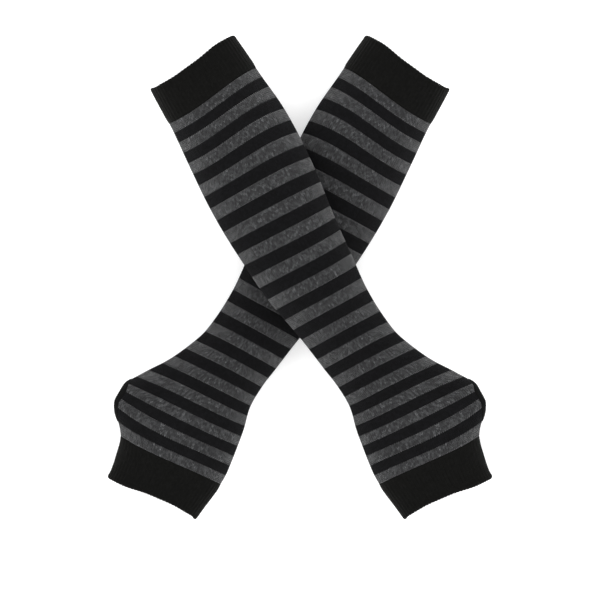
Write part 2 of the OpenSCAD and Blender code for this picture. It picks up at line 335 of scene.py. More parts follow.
    @cached_property
    def pair_y(self) -> float:
        """Where the arm edge's middle is along Y, with the pair's box centred."""
        turns = np.linspace(0, TURN, self.packed_sides, endpoint=False)

        def farthest(s: float, way: int) -> float:
            """How far an edge reaches along Y, towards the hands or the arm."""
            p = self.local(s, turns, -self.cuff_proud, Side.LEFT)
            lay = math.radians(self.lay_angle)
            return float(max(way * (p[:, 1] * math.sin(lay) - p[:, 0] * math.cos(lay))))

        return (farthest(self.glove_len, -1) - farthest(0, 1)) / 2

    def placed(self, local: np.ndarray, side: Side) -> np.ndarray:
        """Turns points from the glove's own axes, in mm, to the pair's, in metres."""
        lay = math.radians(self.lay_angle)
        along, across, up = local[..., 0], local[..., 1], local[..., 2]
        x = -self.arm_edge_x + along * math.sin(lay) + across * math.cos(lay)
        y = self.pair_y - along * math.cos(lay) + across * math.sin(lay)
        return np.stack([side.value * x, y, up], -1) * MM

    def equal_turns(self, s: np.ndarray, count: int) -> np.ndarray:
        """Angles that divide each section into equal lengths of fabric.

        Args:
            s: places along the glove.
            count: divisions round the tube, even, so that both halves get as many.

        Returns:
            [places, count] of angles.
        """
        half = 360
        dense = np.linspace(0, TURN, 2 * half + 1)
        points = self.local(s[:, None], dense[None], 0, Side.LEFT)
        steps = np.linalg.norm(np.diff(points, axis=1), axis=2)
        shares = np.arange(count // 2) / (count // 2)
        rows = []
        for row in steps:
            parts = []
            for first in (0, half):
                run = np.concatenate([[0], np.cumsum(row[first : first + half])])
                parts.append(np.interp(shares, run / run[-1], dense[first : first + half + 1]))
            rows.append(np.concatenate(parts))
        return np.array(rows)

    def mouth(self, local: np.ndarray, side: Side) -> tuple[np.ndarray, np.ndarray]:
        """Where points lie in the plane of the thumb opening.

        Args:
            local: points in the glove's own axes.
            side: which glove.

        Returns:
            Distance along the opening, towards the fingers, and height over its middle.
        """
        lean = math.radians(self.thumb_lean)
        along = (local[..., 0] - self.thumb_at) * math.cos(lean)
        long = along - (local[..., 1] - self.thumb_across) * math.sin(lean)
        return long, local[..., 2] - self.mouth_height(side)

    def mouth_height(self, side: Side) -> float:
        """Height of the middle of the thumb opening."""
        at = np.array(self.thumb_at)
        lift = float(self.rise(at)) if side is Side.RIGHT else 0.0
        return float(self.middle_height(at)) + lift

    def past_cut(self, local: np.ndarray, side: Side) -> np.ndarray:
        """Distance of points outside the thumb opening's cut edge, negative inside it."""
        long, high = self.mouth(local, side)
        core = (self.thumb_cut_len - self.thumb_cut_d) / 2
        beyond = long - np.clip(long, -core, core)
        return np.hypot(beyond, high) - self.thumb_cut_d / 2

    def on_thumb_side(
        self, long: np.ndarray, high: np.ndarray, depth: np.ndarray, side: Side
    ) -> np.ndarray:
        """Points of the tube's thumb side that are seen at given places in the opening.

        Args:
            long: distance along the opening, towards the fingers.
            high: height over the opening's middle.
            depth: distance inwards from the sleeve's outer face.
            side: which glove.

        Returns:
            Points in the glove's own axes.
        """
        long, high, depth = np.broadcast_arrays(long, high, depth)
        target = high + self.mouth_height(side)
        s = self.thumb_at + long
        turn = np.zeros_like(s)
        for _ in range(self.search_rounds):
            half = self.curve(s, Column.HALF) - depth
            lift = self.rise(s + self.search_ahead) if side is Side.RIGHT else 0.0
            level = np.clip((target - lift - self.middle_height(s)) / half, -0.995, 0.995)
            n = self.curve(s, Column.BLUNT)
            width = (1 - np.abs(level) ** n) ** (1 / n)
            turn = np.arctan2(level, width)
            found, _height = self.mouth(self.local(s, turn, depth, side), side)
            s = s + self.search_step * (long - found)
        return self.local(s, turn, depth, side)


# ---------------------------------------------------------------- meshes


@dataclass
class Patch:
    """A grid of points, closed round the tube, with what its texture needs."""

    points: np.ndarray
    course: np.ndarray
    wales: float
    keep: np.ndarray | None = None
    grey: bool = False


@dataclass
class Piece:
    """One visible piece: it gathers patches and becomes one mesh object."""

    name: str
    patches: list[Patch] = field(default_factory=list)

    def build(self, material: bpy.types.Material) -> bpy.types.Object:
        """Makes the mesh object, with a knit map and a map for baking.

        Args:
            material: the finish of the whole piece.

        Returns:
            The object, in the scene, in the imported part's frame.
        """
        points, faces, knit, bake, stripe = [], [], [], [], []
        first = 0
        total = sum(len(p.course) + 1 for p in self.patches)
        row = 0
        for patch in self.patches:
            rows, columns = patch.points.shape[:2]
            i, j = np.meshgrid(np.arange(rows), np.arange(columns), indexing="ij")
            if patch.keep is not None:
                i, j = i[patch.keep], j[patch.keep]
            i, j = i.ravel(), j.ravel()
            down, across = (i + 1) % rows, (j + 1) % columns
            quads = np.stack(
                [i * columns + j, i * columns + across, down * columns + across, down * columns + j], 1
            )
            if self._volume(patch.points.reshape(-1, 3), quads) < 0:
                quads = quads[:, ::-1]
                corner_i = np.stack([i + 1, i + 1, i, i], 1)
                corner_j = np.stack([j, j + 1, j + 1, j], 1)
            else:
                corner_i = np.stack([i, i, i + 1, i + 1], 1)
                corner_j = np.stack([j, j + 1, j + 1, j], 1)
            course = np.concatenate([patch.course, patch.course[-1:]])
            knit.append(np.stack([corner_j * patch.wales / columns, course[corner_i]], -1))
            bake.append(np.stack([corner_j / columns, (row + corner_i) / total], -1))
            stripe.append(np.full(len(quads), float(patch.grey)))
            points.append(patch.points.reshape(-1, 3))
            faces.append(quads + first)
            first += rows * columns
            row += rows + 1
        mesh = self._mesh(np.concatenate(points), np.concatenate(faces))
        self._map(mesh, "KnitGrid", np.concatenate(knit))
        self._map(mesh, "OFBake", np.concatenate(bake) * 0.998 + 0.001)
        layer = mesh.attributes.new("GreyStripe", "FLOAT", "FACE")
        layer.data.foreach_set("value", np.concatenate(stripe).astype(np.float32))
        mesh.materials.append(material)
        made = bpy.data.objects.new(self.name, mesh)
        bpy.context.scene.collection.objects.link(made)
        LOG.info("%s: %d faces, %s", self.name, len(mesh.polygons), material.name)
        return made

    @staticmethod
    def _volume(points: np.ndarray, quads: np.ndarray) -> float:
        """Signed volume of the faces, which is negative when they face inwards."""
        centre = points.mean(0)
        a, b, c, d = (points[quads[:, k]] - centre for k in range(4))
        both = np.einsum("ij,ij->i", a, np.cross(b, c)) + np.einsum("ij,ij->i", a, np.cross(c, d))
        return float(both.sum())

    def _mesh(self, points: np.ndarray, quads: np.ndarray) -> bpy.types.Mesh:
        """A smooth-shaded mesh of the quads, without the points that none of them uses."""
        used, quads = np.unique(quads, return_inverse=True)
        quads = quads.reshape(-1, 4)
        mesh = bpy.data.meshes.new(self.name)
        mesh.vertices.add(len(used))
        mesh.vertices.foreach_set("co", points[used].astype(np.float32).ravel())
        mesh.loops.add(quads.size)
        mesh.loops.foreach_set("vertex_index", quads.astype(np.int32).ravel())
        mesh.polygons.add(len(quads))
        mesh.polygons.foreach_set("loop_start", np.arange(0, quads.size, 4, dtype=np.int32))
        mesh.polygons.foreach_set("use_smooth", np.ones(len(quads), bool))
        mesh.update(calc_edges=True)
        return mesh

    @staticmethod
    def _map(mesh: bpy.types.Mesh, name: str, places: np.ndarray) -> None:
        """Adds a UV map with the given corner places."""
        layer = mesh.uv_layers.new(name=name, do_init=False)
        layer.uv.foreach_set("vector", places.astype(np.float32).ravel())


# ---------------------------------------------------------------- finishes


def linear(code: str) -> tuple[float, float, float, float]:
    """An sRGB hex colour as linear red, green, blue and a full alpha."""
    parts = [int(code[k : k + 2], 16) / 255 for k in (1, 3, 5)]
    low = [c / 12.92 if c <= 0.04045 else ((c + 0.055) / 1.055) ** 2.4 for c in parts]
    return (low[0], low[1], low[2], 1.0)


def add_node(
    tree: bpy.types.NodeTree, kind: str, links: dict | None = None, **settings: object
) -> bpy.types.Node:
    """Adds one node to a material.

    Args:
        tree: the material's node tree.
        kind: the node's type name, without its "ShaderNode".
        links: what each input gets, by name or number: another node's output, or a value.
        settings: the node's own settings.

    Returns:
        The new node.
    """
    node = tree.nodes.new("ShaderNode" + kind)
    for name, value in settings.items():
        setattr(node, name, value)
    for key, value in (links or {}).items():
        if isinstance(value, bpy.types.NodeSocket):
            tree.links.new(value, node.inputs[key])
        else:
            node.inputs[key].default_value = value
    return node


def maths(tree: bpy.types.NodeTree, operation: str, *values: object) -> bpy.types.NodeSocket:
    """Adds one arithmetic node and gives its result."""
    return add_node(tree, "Math", dict(enumerate(values)), operation=operation).outputs[0]


@dataclass(frozen=True)
class KnitFinish:
    """A knitted fabric, drawn stitch by stitch from the piece's knit map.

    The map counts wales round the tube and courses along it, so the pattern's size
    is the real stitch: about 1.4 mm between wales and 1.2 mm between courses.
    """

    name: str
    dark: str
    mid: str
    light: str
    speck: str
    speck_share: float
    stitch_depth: float
    roughness: float
    sheen: float
    sheen_tint: str
    sheen_roughness: float = 0.45
    stripe_mid: str | None = None
    leg_lean: float = 1.6
    drift_spots: tuple[float, float] = (0.16, 0.62)
    fibre_spots: tuple[float, float] = (3.1, 2.1)
    base_tone: float = 0.3
    stitch_tone: float = 0.28
    drift_tone: float = 0.1
    fibre_tone: float = 0.42
    ramp_stops: tuple[float, float, float] = (0.44, 0.68, 0.94)
    speck_from: float = 0.56
    speck_to: float = 0.62
    # painted shade in the stitch gaps and painted highlight on the raised legs, as colour factors
    gap_shade: float = 0.62
    leg_shade: float = 1.08
    show_through: float = 0.7
    fuzz: float = 0.35
    bump: float = 0.9

    def _stitch(
        self, tree: bpy.types.NodeTree, grid: bpy.types.NodeSocket
    ) -> tuple[bpy.types.NodeSocket, bpy.types.NodeSocket]:
        """The stitches' relief, and a random number that is each stitch's own.

        Args:
            tree: the material's node tree.
            grid: the knit map.

        Returns:
            The relief, from 0 in the gaps to 1 on the yarn, and the random number.
        """
        apart = add_node(tree, "SeparateXYZ", {0: grid})
        wale, course = apart.outputs["X"], apart.outputs["Y"]
        # from the middle of a wale, 0, to the gap between two, 0.5
        centred = maths(tree, "SUBTRACT", maths(tree, "FRACT", wale), 0.5)
        off = maths(tree, "ABSOLUTE", centred)
        # the two legs of each stitch lean outwards, so the course runs in a zigzag
        lean = maths(tree, "MULTIPLY_ADD", off, self.leg_lean, course)
        leg_round = maths(tree, "SINE", maths(tree, "MULTIPLY", off, TURN))
        half_turn = maths(tree, "MULTIPLY", maths(tree, "FRACT", lean), math.pi)
        relief = maths(tree, "MULTIPLY", maths(tree, "SINE", half_turn), leg_round)
        # which stitch it is: the whole part of both counts
        places = {0: maths(tree, "FLOOR", wale), 1: maths(tree, "FLOOR", lean), 2: 0.0}
        which = add_node(tree, "CombineXYZ", places).outputs[0]
        random = add_node(tree, "TexWhiteNoise", {"Vector": which}, noise_dimensions="3D")
        return relief, random.outputs["Value"]

    @staticmethod
    def _noise(
        tree: bpy.types.NodeTree,
        grid: bpy.types.NodeSocket,
        spots: tuple[float, float],
        detail: float,
        roughness: float,
    ) -> bpy.types.NodeSocket:
        """Noise with so many spots to a wale and to a course."""
        scaled = add_node(tree, "VectorMath", {0: grid, 1: (*spots, 1.0)}, operation="MULTIPLY")
        settings = {"Vector": scaled.outputs[0], "Scale": 1.0, "Detail": detail, "Roughness": roughness}
        return add_node(tree, "TexNoise", settings).outputs["Fac"]

    def _yarn(
        self,
        tree: bpy.types.NodeTree,
        random: bpy.types.NodeSocket,
        drift: bpy.types.NodeSocket,
        fibre: bpy.types.NodeSocket,
    ) -> bpy.types.NodeSocket:
        """The yarn's colour: three tones by stitch, by stretch of yarn and by fibre."""
        tone = maths(tree, "MULTIPLY_ADD", random, self.stitch_tone, self.base_tone)
        tone = maths(tree, "MULTIPLY_ADD", drift, self.drift_tone, tone)
        tone = maths(tree, "MULTIPLY_ADD", fibre, self.fibre_tone, tone)
        ramp = add_node(tree, "ValToRGB", {0: tone})
        stops = ramp.color_ramp.elements
        first, middle, last = self.ramp_stops
        stops[0].position, stops[0].color = first, linear(self.dark)
        stops[1].position, stops[1].color = last, linear(self.light)
        stops.new(middle).color = linear(self.mid)
        # single light fibres of the heather blend
        limits = {1: self.speck_from - self.speck_share, 2: self.speck_to - self.speck_share}
        bright = maths(tree, "MULTIPLY", random, fibre)
        picked = add_node(tree, "MapRange", {0: bright, **limits}).outputs[0]
        inputs = {0: picked, 6: ramp.outputs["Color"], 7: linear(self.speck)}
        return add_node(tree, "Mix", inputs, data_type="RGBA").outputs[2]

    def build(self) -> bpy.types.Material:
        """Makes the material."""
        material = bpy.data.materials.new(self.name)
        material.use_nodes = True
        tree = material.node_tree
        tree.nodes.clear()
        grid = add_node(tree, "UVMap", uv_map="KnitGrid").outputs["UV"]
        relief, random = self._stitch(tree, grid)
        # the melange drifts along the yarn, which runs round the tube
        drift = self._noise(tree, grid, self.drift_spots, 4.0, 0.65)
        fibre = self._noise(tree, grid, self.fibre_spots, 3.0, 0.7)
        colour = self._yarn(tree, random, drift, fibre)
        # painted shade: the colour is darkened in the gaps between wales and between stitches, and
        # lightened a little on the raised legs as a painted highlight
        shades = {0: relief, 1: 0.0, 2: 0.75, 3: self.gap_shade, 4: self.leg_shade}
        shade = add_node(tree, "MapRange", shades).outputs[0]
        colour = add_node(tree, "VectorMath", {0: colour, "Scale": shade}, operation="SCALE").outputs[0]
        if self.stripe_mid is not None:
            striped = add_node(tree, "Attribute", attribute_name="GreyStripe").outputs["Fac"]
            weight = maths(tree, "MULTIPLY", striped, self.show_through)
            inputs = {0: weight, 6: colour, 7: linear(self.stripe_mid)}
            colour = add_node(tree, "Mix", inputs, data_type="RGBA").outputs[2]
        height = maths(tree, "MULTIPLY_ADD", fibre, self.fuzz, relief)
        bumps = {"Strength": self.bump, "Distance": self.stitch_depth * MM, "Height": height}
        shader = add_node(
            tree,
            "BsdfPrincipled",
            {
                "Base Color": colour,
                "Normal": add_node(tree, "Bump", bumps).outputs[0],
                "Roughness": self.roughness,
                "IOR": 1.5,
                "Specular IOR Level": 0.06,
                "Sheen Weight": self.sheen,
                "Sheen Roughness": self.sheen_roughness,
                "Sheen Tint": linear(self.sheen_tint),
            },
        )
        add_node(tree, "OutputMaterial", {"Surface": shader.outputs[0]})
        return material


@dataclass(frozen=True)
class ThreadFinish:
    """A single thread or covered elastic: fine twist lines along it."""

    name: str
    dark: str
    light: str
    roughness: float
    sheen: float
    twist_per_mm: float

    def build(self) -> bpy.types.Material:
        """Makes the material."""
        material = bpy.data.materials.new(self.name)
        material.use_nodes = True
        tree = material.node_tree
        tree.nodes.clear()
        place = add_node(tree, "TexCoord").outputs["Object"]
        wave = add_node(
            tree,
            "TexWave",
            {"Vector": place, "Scale": self.twist_per_mm / MM / TURN, "Distortion": 1.5, "Detail": 2.0},
            bands_direction="DIAGONAL",
        ).outputs["Fac"]
        ramp = add_node(tree, "ValToRGB", {0: wave})
        ramp.color_ramp.elements[0].color = linear(self.dark)
        ramp.color_ramp.elements[1].color = linear(self.light)
        bump = add_node(tree, "Bump", {"Strength": 0.5, "Distance": 0.08 * MM, "Height": wave}).outputs[0]
        shader = add_node(
            tree,
            "BsdfPrincipled",
            {
                "Base Color": ramp.outputs["Color"],
                "Normal": bump,
                "Roughness": self.roughness,
                "Sheen Weight": self.sheen,
            },
        )
        add_node(tree, "OutputMaterial", {"Surface": shader.outputs[0]})
        return material


@dataclass
class Finishes:
    """Every material of the gloves, made once."""

    # Heather grey spun yarn: a mix of grey fibres, so no two stitches are quite alike.
    grey: KnitFinish = KnitFinish(
        "Heather grey spun yarn, plain knit", "#202021", "#363637", "#535455", "#7c7d7f",
        0.04, 0.3, 0.88, 0.3, "#ffffff", 0.3,
    )
    # Black spun yarn: nearly even, with a soft lighter bloom where fibres stand up.
    black: KnitFinish = KnitFinish(
        "Black spun yarn, plain knit", "#0c0c0d", "#111112", "#18181a", "#262627",
        -0.1, 0.28, 0.9, 0.05, "#c8c8cc", 0.3,
    )
    # Black rib for the cuffs: denser and a little deeper in tone than the stripes.
    rib: KnitFinish = KnitFinish(
        "Black spun yarn, rib knit", "#0a0a09", "#0e0e0d", "#131312", "#1a1a19",
        -0.2, 0.22, 0.9, 0.04, "#c8c8c4", 0.3,
    )
    # Folded knit binding: fine, tight and matt, so it reads as a plain black edge.
    binding: KnitFinish = KnitFinish(
        "Black knit binding tape", "#0b0b0b", "#0f0f0f", "#141414", "#1a1a1a",
        -0.2, 0.16, 0.9, 0.04, "#c0c0c0", 0.3,
    )
    # Nylon and elastane plating on the inside: smoother yarn, with the stripes showing through.
    plating: KnitFinish = KnitFinish(
        "Nylon and elastane plating yarn", "#17171a", "#1f1f22", "#28282b", "#39393c",
        -0.1, 0.2, 0.6, 0.1, "#ffffff", 0.35, "#3c3c3e",
    )
    # Spun polyester thread: a faint twist and a faint gleam.
    thread: ThreadFinish = ThreadFinish(
        "Spun polyester sewing thread", "#0f0f10", "#232325", 0.55, 0.1, 2.0
    )
    # Covered elastic: pale rubber wound with polyester.
    elastic: ThreadFinish = ThreadFinish(
        "Covered elastic yarn", "#8b867a", "#d6d2c6", 0.7, 0.15, 2.5
    )
    made: dict[str, bpy.types.Material] = field(default_factory=dict)

    def get(self, name: str) -> bpy.types.Material:
        """The material of that field name, made on its first use."""
        if name not in self.made:
            self.made[name] = getattr(self, name).build()
        return self.made[name]


# ---------------------------------------------------------------- the glove's parts


@dataclass
class Sleeve:
    """The striped tube and the plating inside it."""

    form: GloveForm
    side: Side
    wales: int = 136
    course_step: float = 1.3
    inner_step: float = 4.0
    plating_step: float = 2.2
    stitch_zigzag: float = 0.33
    wale_relief: float = 0.11
    calm_run: float = 4.0
    thumb_half_from: float = 25.0

    def _rows(self, stops: list[tuple[float, float, float]], per_wale: int) -> np.ndarray:
        """Sweeps stops round the tube.

        Args:
            stops: (place, depth, relief share) of each row.
            per_wale: points per wale; with four of them the wales stand out.

        Returns:
            [rows, columns, 3] points in the glove's own axes.
        """
        count = self.wales * per_wale
        s, depth, share = (np.array(c)[:, None] for c in zip(*stops))
        turns = self.form.equal_turns(s[:, 0], count)
        phase = np.arange(count) % per_wale
        if per_wale == 4:
            relief = np.array([-1.0, 1.0, -0.3, 1.0])[phase]
            zigzag = np.array([-1.0, 0.0, 1.0, 0.0])[phase]
        else:
            relief = np.zeros(count)
            zigzag = np.array([-1.0, 1.0])[phase]
        # the zigzag calms down towards the cuffs
        to_hand = np.clip((self.form.sleeve_end + 1 - s) / self.calm_run, 0, 1)
        to_arm = np.clip((s - self.form.arm_cuff_len + 1) / self.calm_run, 0, 1)
        place = s + zigzag * self.stitch_zigzag * (0.25 + 0.75 * to_hand * to_arm)
        return self.form.local(place, turns, depth - relief * self.wale_relief * share, self.side)

    def _band(self, first: float, last: float) -> Patch:
        """One stripe: a closed ring of fabric, fine outside and coarser inside."""
        outer = np.linspace(first, last, max(3, round((last - first) / self.course_step) + 1))
        inner = np.linspace(last, first, max(2, round((last - first) / self.inner_step) + 1))
        stops = [(s, 0.0, 1.0) for s in outer]
        stops += [(s, self.form.body_yarn_t, 0.0) for s in inner]
        local = self._rows(stops, 4)
        return self._patch(local, [s for s, _d, _r in stops], True)

    def _patch(self, local: np.ndarray, places: list[float], grey: bool) -> Patch:
        """Turns rows of local points to a patch, cut open at the thumb."""
        course = np.array(places) / COURSE_HEIGHT
        keep = None
        if local[..., 0].max() > self.form.thumb_at - self.form.thumb_cut_len:
            middle = (local + np.roll(local, -1, 0)) / 2
            middle = (middle + np.roll(middle, -1, 1)) / 2
            inside = self.form.past_cut(middle, self.side) < -0.1
            keep = ~(inside & (middle[..., 1] > self.thumb_half_from))
        return Patch(self.form.placed(local, self.side), course, self.wales, keep, grey)

    def stripes(self, zone: Zone, grey: bool) -> Piece:
        """The grey or the black stripes of one zone."""
        first, end = zone.value
        edges = self.form.band_edges
        word = "grey" if grey else "black"
        bands = [m for m in range(first, end) if (m % 2 == 0) == grey]
        patches = [self._band(edges[m], edges[m + 1]) for m in bands]
        return Piece(f"{self.side.word}_{zone.word}_{word}_stripes", patches)

    def plating(self, zone: Zone) -> Piece:
        """The elastic plating of one zone, with a row at each stripe's edge."""
        first, end = zone.value
        edges = self.form.band_edges
        outer, inner = self.form.body_yarn_t, self.form.fabric_t
        patches = []
        for band in range(first, end):
            steps = max(2, round((edges[band + 1] - edges[band]) / self.plating_step) + 1)
            rows = np.linspace(edges[band], edges[band + 1], steps)
            stops = [(s, inner, 0.0) for s in rows]
            stops += [(s, outer, 0.0) for s in (edges[band + 1], edges[band])]
            local = self._rows(stops, 2)
            patches.append(self._patch(local, [s for s, _d, _r in stops], band % 2 == 0))
        return Piece(f"{self.side.word}_{zone.word}_plating_knit", patches)


@dataclass
class Cuff:
    """A turned rib cuff, with the elastic laid in it and the chain stitch inside."""

    form: GloveForm
    side: Side
    at_hand: bool
    layer_t: float = 1.2
    gap: float = 0.9
    elastic_d: float = 0.6
    elastic_count: int = 4
    linking_d: float = 0.9
    join_gap: float = 0.15
    ribs: int = 66
    rib_points: int = 8
    rib_relief: float = 0.12
    edge_wave: float = 0.2
    settle_run: float = 5.0
    outer_rows: int = 22
    fold_rows: int = 9
    inner_rows: int = 12
    hollow_rows: int = 5
    bead_points: int = 4

    @property
    def fold(self) -> float:
        """Where the cuff is folded, at the glove's edge."""
        return self.form.glove_len if self.at_hand else 0.0

    @property
    def open_end(self) -> float:
        """Where the cuff meets the sleeve."""
        return self.form.sleeve_end if self.at_hand else self.form.arm_cuff_len

    @property
    def way(self) -> float:
        """The sign of the step from the fold to the sleeve."""
        return -1.0 if self.at_hand else 1.0

    @property
    def word(self) -> str:
        """The start of the names of this cuff's pieces."""
        return f"{self.side.word}_{'hand' if self.at_hand else 'arm'}_cuff"

    def _profile(self) -> np.ndarray:
        """Rows of (distance from the fold, depth, normal along, normal in depth, relief)."""
        out = -self.form.cuff_proud
        total = 2 * self.layer_t + self.gap
        radius, length = total / 2, abs(self.open_end - self.fold)
        mid = out + radius
        rows = []
        for along in np.linspace(length, radius, self.outer_rows):
            near = np.clip((length - along) / self.settle_run, 0, 1)
            settle = (1 - near) ** 2 * self.form.cuff_proud * 0.8
            rows.append((along, out + settle, 0, -1, 0.35 + 0.65 * near))
        for turn in np.linspace(0, math.pi, self.fold_rows)[1:-1]:
            rows.append((
                radius - radius * math.sin(turn), mid - radius * math.cos(turn),
                -math.sin(turn), -math.cos(turn), 1.0,
            ))
        inner_end = length - self.linking_d - self.join_gap
        for along in np.linspace(radius, inner_end, self.inner_rows):
            rows.append((along, out + total, 0, 1, 0.7))
        rows.append((inner_end, out + self.layer_t + self.gap, 0, 0, 0))
        hollow = self.gap / 2
        for turn in np.linspace(math.pi, 0, self.hollow_rows):
            rows.append((
                radius - hollow * math.sin(turn), mid - hollow * math.cos(turn), 0, 0, 0,
            ))
        rows.append((length, out + self.layer_t, 0, 0, 0))
        return np.array(rows, float)

    def rib(self) -> Piece:
        """The doubled rib knit itself."""
        rows = self._profile()
        if not self.at_hand:
            rows = rows[::-1]
        count = self.ribs * self.rib_points
        along, depth, n_along, n_depth, share = (rows[:, k : k + 1] for k in range(5))
        s = self.fold + self.way * along
        turns = self.form.equal_turns(s[:, 0], count)
        phase = np.arange(count) / self.rib_points * TURN
        relief = np.tanh(1.6 * np.cos(phase)) * self.rib_relief * share
        far = np.clip(1 - along / abs(self.open_end - self.fold), 0, 1) ** 2
        wave = self.edge_wave * far * (np.sin(5 * turns + 0.7) + 0.6 * np.sin(9 * turns + 2.1))
        place = s + self.way * (n_along * relief + wave)
        local = self.form.local(place, turns, depth + n_depth * relief, self.side)
        points = self.form.placed(local, self.side)
        run = np.cumsum(np.hypot(np.diff(rows[:, 0], prepend=rows[0, 0]),
                                 np.diff(rows[:, 1], prepend=rows[0, 1])))
        return Piece(f"{self.word}_rib", [Patch(points, run / COURSE_HEIGHT, 2 * self.ribs)])

    def _thread_ring(self, s: float, depth: float, diameter: float, beads: int, bead: float) -> Patch:
        """A thread round the tube, thicker at each stitch."""
        count = beads * self.bead_points
        ring = np.linspace(0, TURN, THREAD_SIDES, endpoint=False)[:, None]
        turns = self.form.equal_turns(np.full(1, s), count)
        swell = 1 - bead + bead * np.abs(np.sin(np.arange(count)[None] / self.bead_points * math.pi))
        r = diameter / 2 * swell
        local = self.form.local(s + r * np.cos(ring), turns, depth + r * np.sin(ring), self.side)
        course = np.arange(THREAD_SIDES) / THREAD_SIDES
        return Patch(self.form.placed(local, self.side), course, beads)

    def elastic(self) -> Piece:
        """The elastic yarns laid between the cuff's two layers."""
        depth = -self.form.cuff_proud + self.layer_t + self.gap / 2
        first = self.fold + self.way * (self.layer_t + self.elastic_d)
        last = self.open_end - self.way * self.elastic_d * 2
        rings = []
        for k in range(self.elastic_count):
            s = first + (last - first) * (k + 0.5) / self.elastic_count
            rings.append(self._thread_ring(s, depth, self.elastic_d, 60, 0.12))
        return Piece(f"{self.word}_elastic_yarns", rings)

    def linking(self) -> Piece:
        """The chain stitch that holds the cuff's inner layer to the sleeve."""
        depth = -self.form.cuff_proud + 1.5 * self.layer_t + self.gap
        s = self.open_end - self.way * self.linking_d / 2
        return Piece(
            f"{self.word}_linking_stitches",
            [self._thread_ring(s, depth, self.linking_d, 110, 0.45)],
        )


@dataclass
class ThumbOpening:
    """The folded binding round the thumb's cut edge, and the overlock inside it."""

    form: GloveForm
    side: Side
    binding_w: float = 3.0
    binding_t: float = 0.7
    join_gap: float = 0.15
    ridges: int = 66
    ridge_points: int = 6
    ridge_relief: float = 0.14
    overlock_loops: int = 44
    loop_points: int = 10
    thread_d: float = 0.55

    def _rim(self, count: int) -> tuple[np.ndarray, np.ndarray]:
        """The opening's outline, as where each point's centre is and which way it faces.

        Args:
            count: points round the outline.

        Returns:
            The centre's distance along the opening, and the angle of the outward normal.
        """
        core = (self.form.thumb_cut_len - self.form.thumb_cut_d) / 2
        bend = math.pi * self.form.thumb_cut_d / 2
        run = np.linspace(0, 2 * bend + 4 * core, count, endpoint=False)
        stops = np.cumsum([0, bend, 2 * core, bend, 2 * core])
        angle = np.interp(run, stops, np.array([-0.5, 0.5, 0.5, 1.5, 1.5]) * math.pi)
        centre = np.interp(run, stops, [core, core, -core, -core, core])
        return centre, angle

    def _at(self, centre: np.ndarray, angle: np.ndarray, past: np.ndarray, depth: np.ndarray) -> np.ndarray:
        """Points past the cut edge by a distance, at a depth in the fabric."""
        radius = self.form.thumb_cut_d / 2 + past
        long = centre + radius * np.cos(angle)
        return self.form.on_thumb_side(long, radius * np.sin(angle), depth, self.side)

    def binding(self) -> Piece:
        """The folded tape: a U over the cut edge, with fine ridges across it."""
        t, w, gap = self.binding_t, self.binding_w, self.join_gap
        fabric = self.form.fabric_t
        inner = [(w, -gap), (w * 0.5, -gap), (-gap, -gap), (-gap, fabric / 2),
                 (-gap, fabric + gap), (w * 0.5, fabric + gap), (w, fabric + gap)]
        outer = [(w + 0.1, fabric + gap + 0.2), (w - 0.1, fabric + t), (w * 0.5, fabric + t + 0.1),
                 (0.1, fabric + t), (-gap - t * 0.7, fabric + t * 0.3), (-gap - t, fabric / 2),
                 (-gap - t * 0.7, -t * 0.4), (0.1, -t), (w * 0.3, -t - 0.15), (w * 0.6, -t - 0.12),
                 (w - 0.1, -t), (w + 0.1, -gap - 0.2)]
        count = self.ridges * self.ridge_points
        centre, angle = self._rim(count)
        ridge = 0.5 + 0.5 * np.cos(np.arange(count) / self.ridge_points * TURN)
        rows = []
        for past, depth in inner:
            rows.append(self._at(centre, angle, past, depth))
        middle = np.array([w * 0.4, fabric / 2])
        for past, depth in outer:
            away = np.array([past, depth]) - middle
            away = away / np.hypot(*away) * self.ridge_relief
            rows.append(self._at(centre, angle, past + away[0] * ridge, depth + away[1] * ridge))
        local = np.array(rows)
        course = np.linspace(0, 9, len(rows))
        points = self.form.placed(local, self.side)
        return Piece(f"{self.side.word}_thumb_binding_tape", [Patch(points, course, self.ridges)])

    def overlock(self) -> Piece:
        """The overlock thread: loops that zigzag over the binding's inner side."""
        count = self.overlock_loops * self.loop_points
        centre, angle = self._rim(count)
        swing = np.sin(np.arange(count) / self.loop_points * TURN)
        depth = self.form.fabric_t + self.binding_t + self.join_gap + self.thread_d / 2 + 0.1
        past = self.binding_w * 0.5 + self.binding_w * 0.36 * swing
        path = self._at(centre, angle, past, np.full(count, depth))
        ahead = np.roll(path, -1, 0) - np.roll(path, 1, 0)
        ahead /= np.linalg.norm(ahead, axis=1, keepdims=True)
        inwards = path - self._at(centre, angle, past, np.full(count, depth - 0.5))
        sideways = np.cross(ahead, inwards)
        sideways /= np.linalg.norm(sideways, axis=1, keepdims=True)
        up = np.cross(sideways, ahead)
        ring = np.linspace(0, TURN, THREAD_SIDES, endpoint=False)
        rows = [path + self.thread_d / 2 * (math.cos(a) * sideways + math.sin(a) * up) for a in ring]
        points = self.form.placed(np.array(rows), self.side)
        return Piece(
            f"{self.side.word}_thumb_overlock_thread",
            [Patch(points, np.arange(THREAD_SIDES) / THREAD_SIDES, self.overlock_loops)],
        )


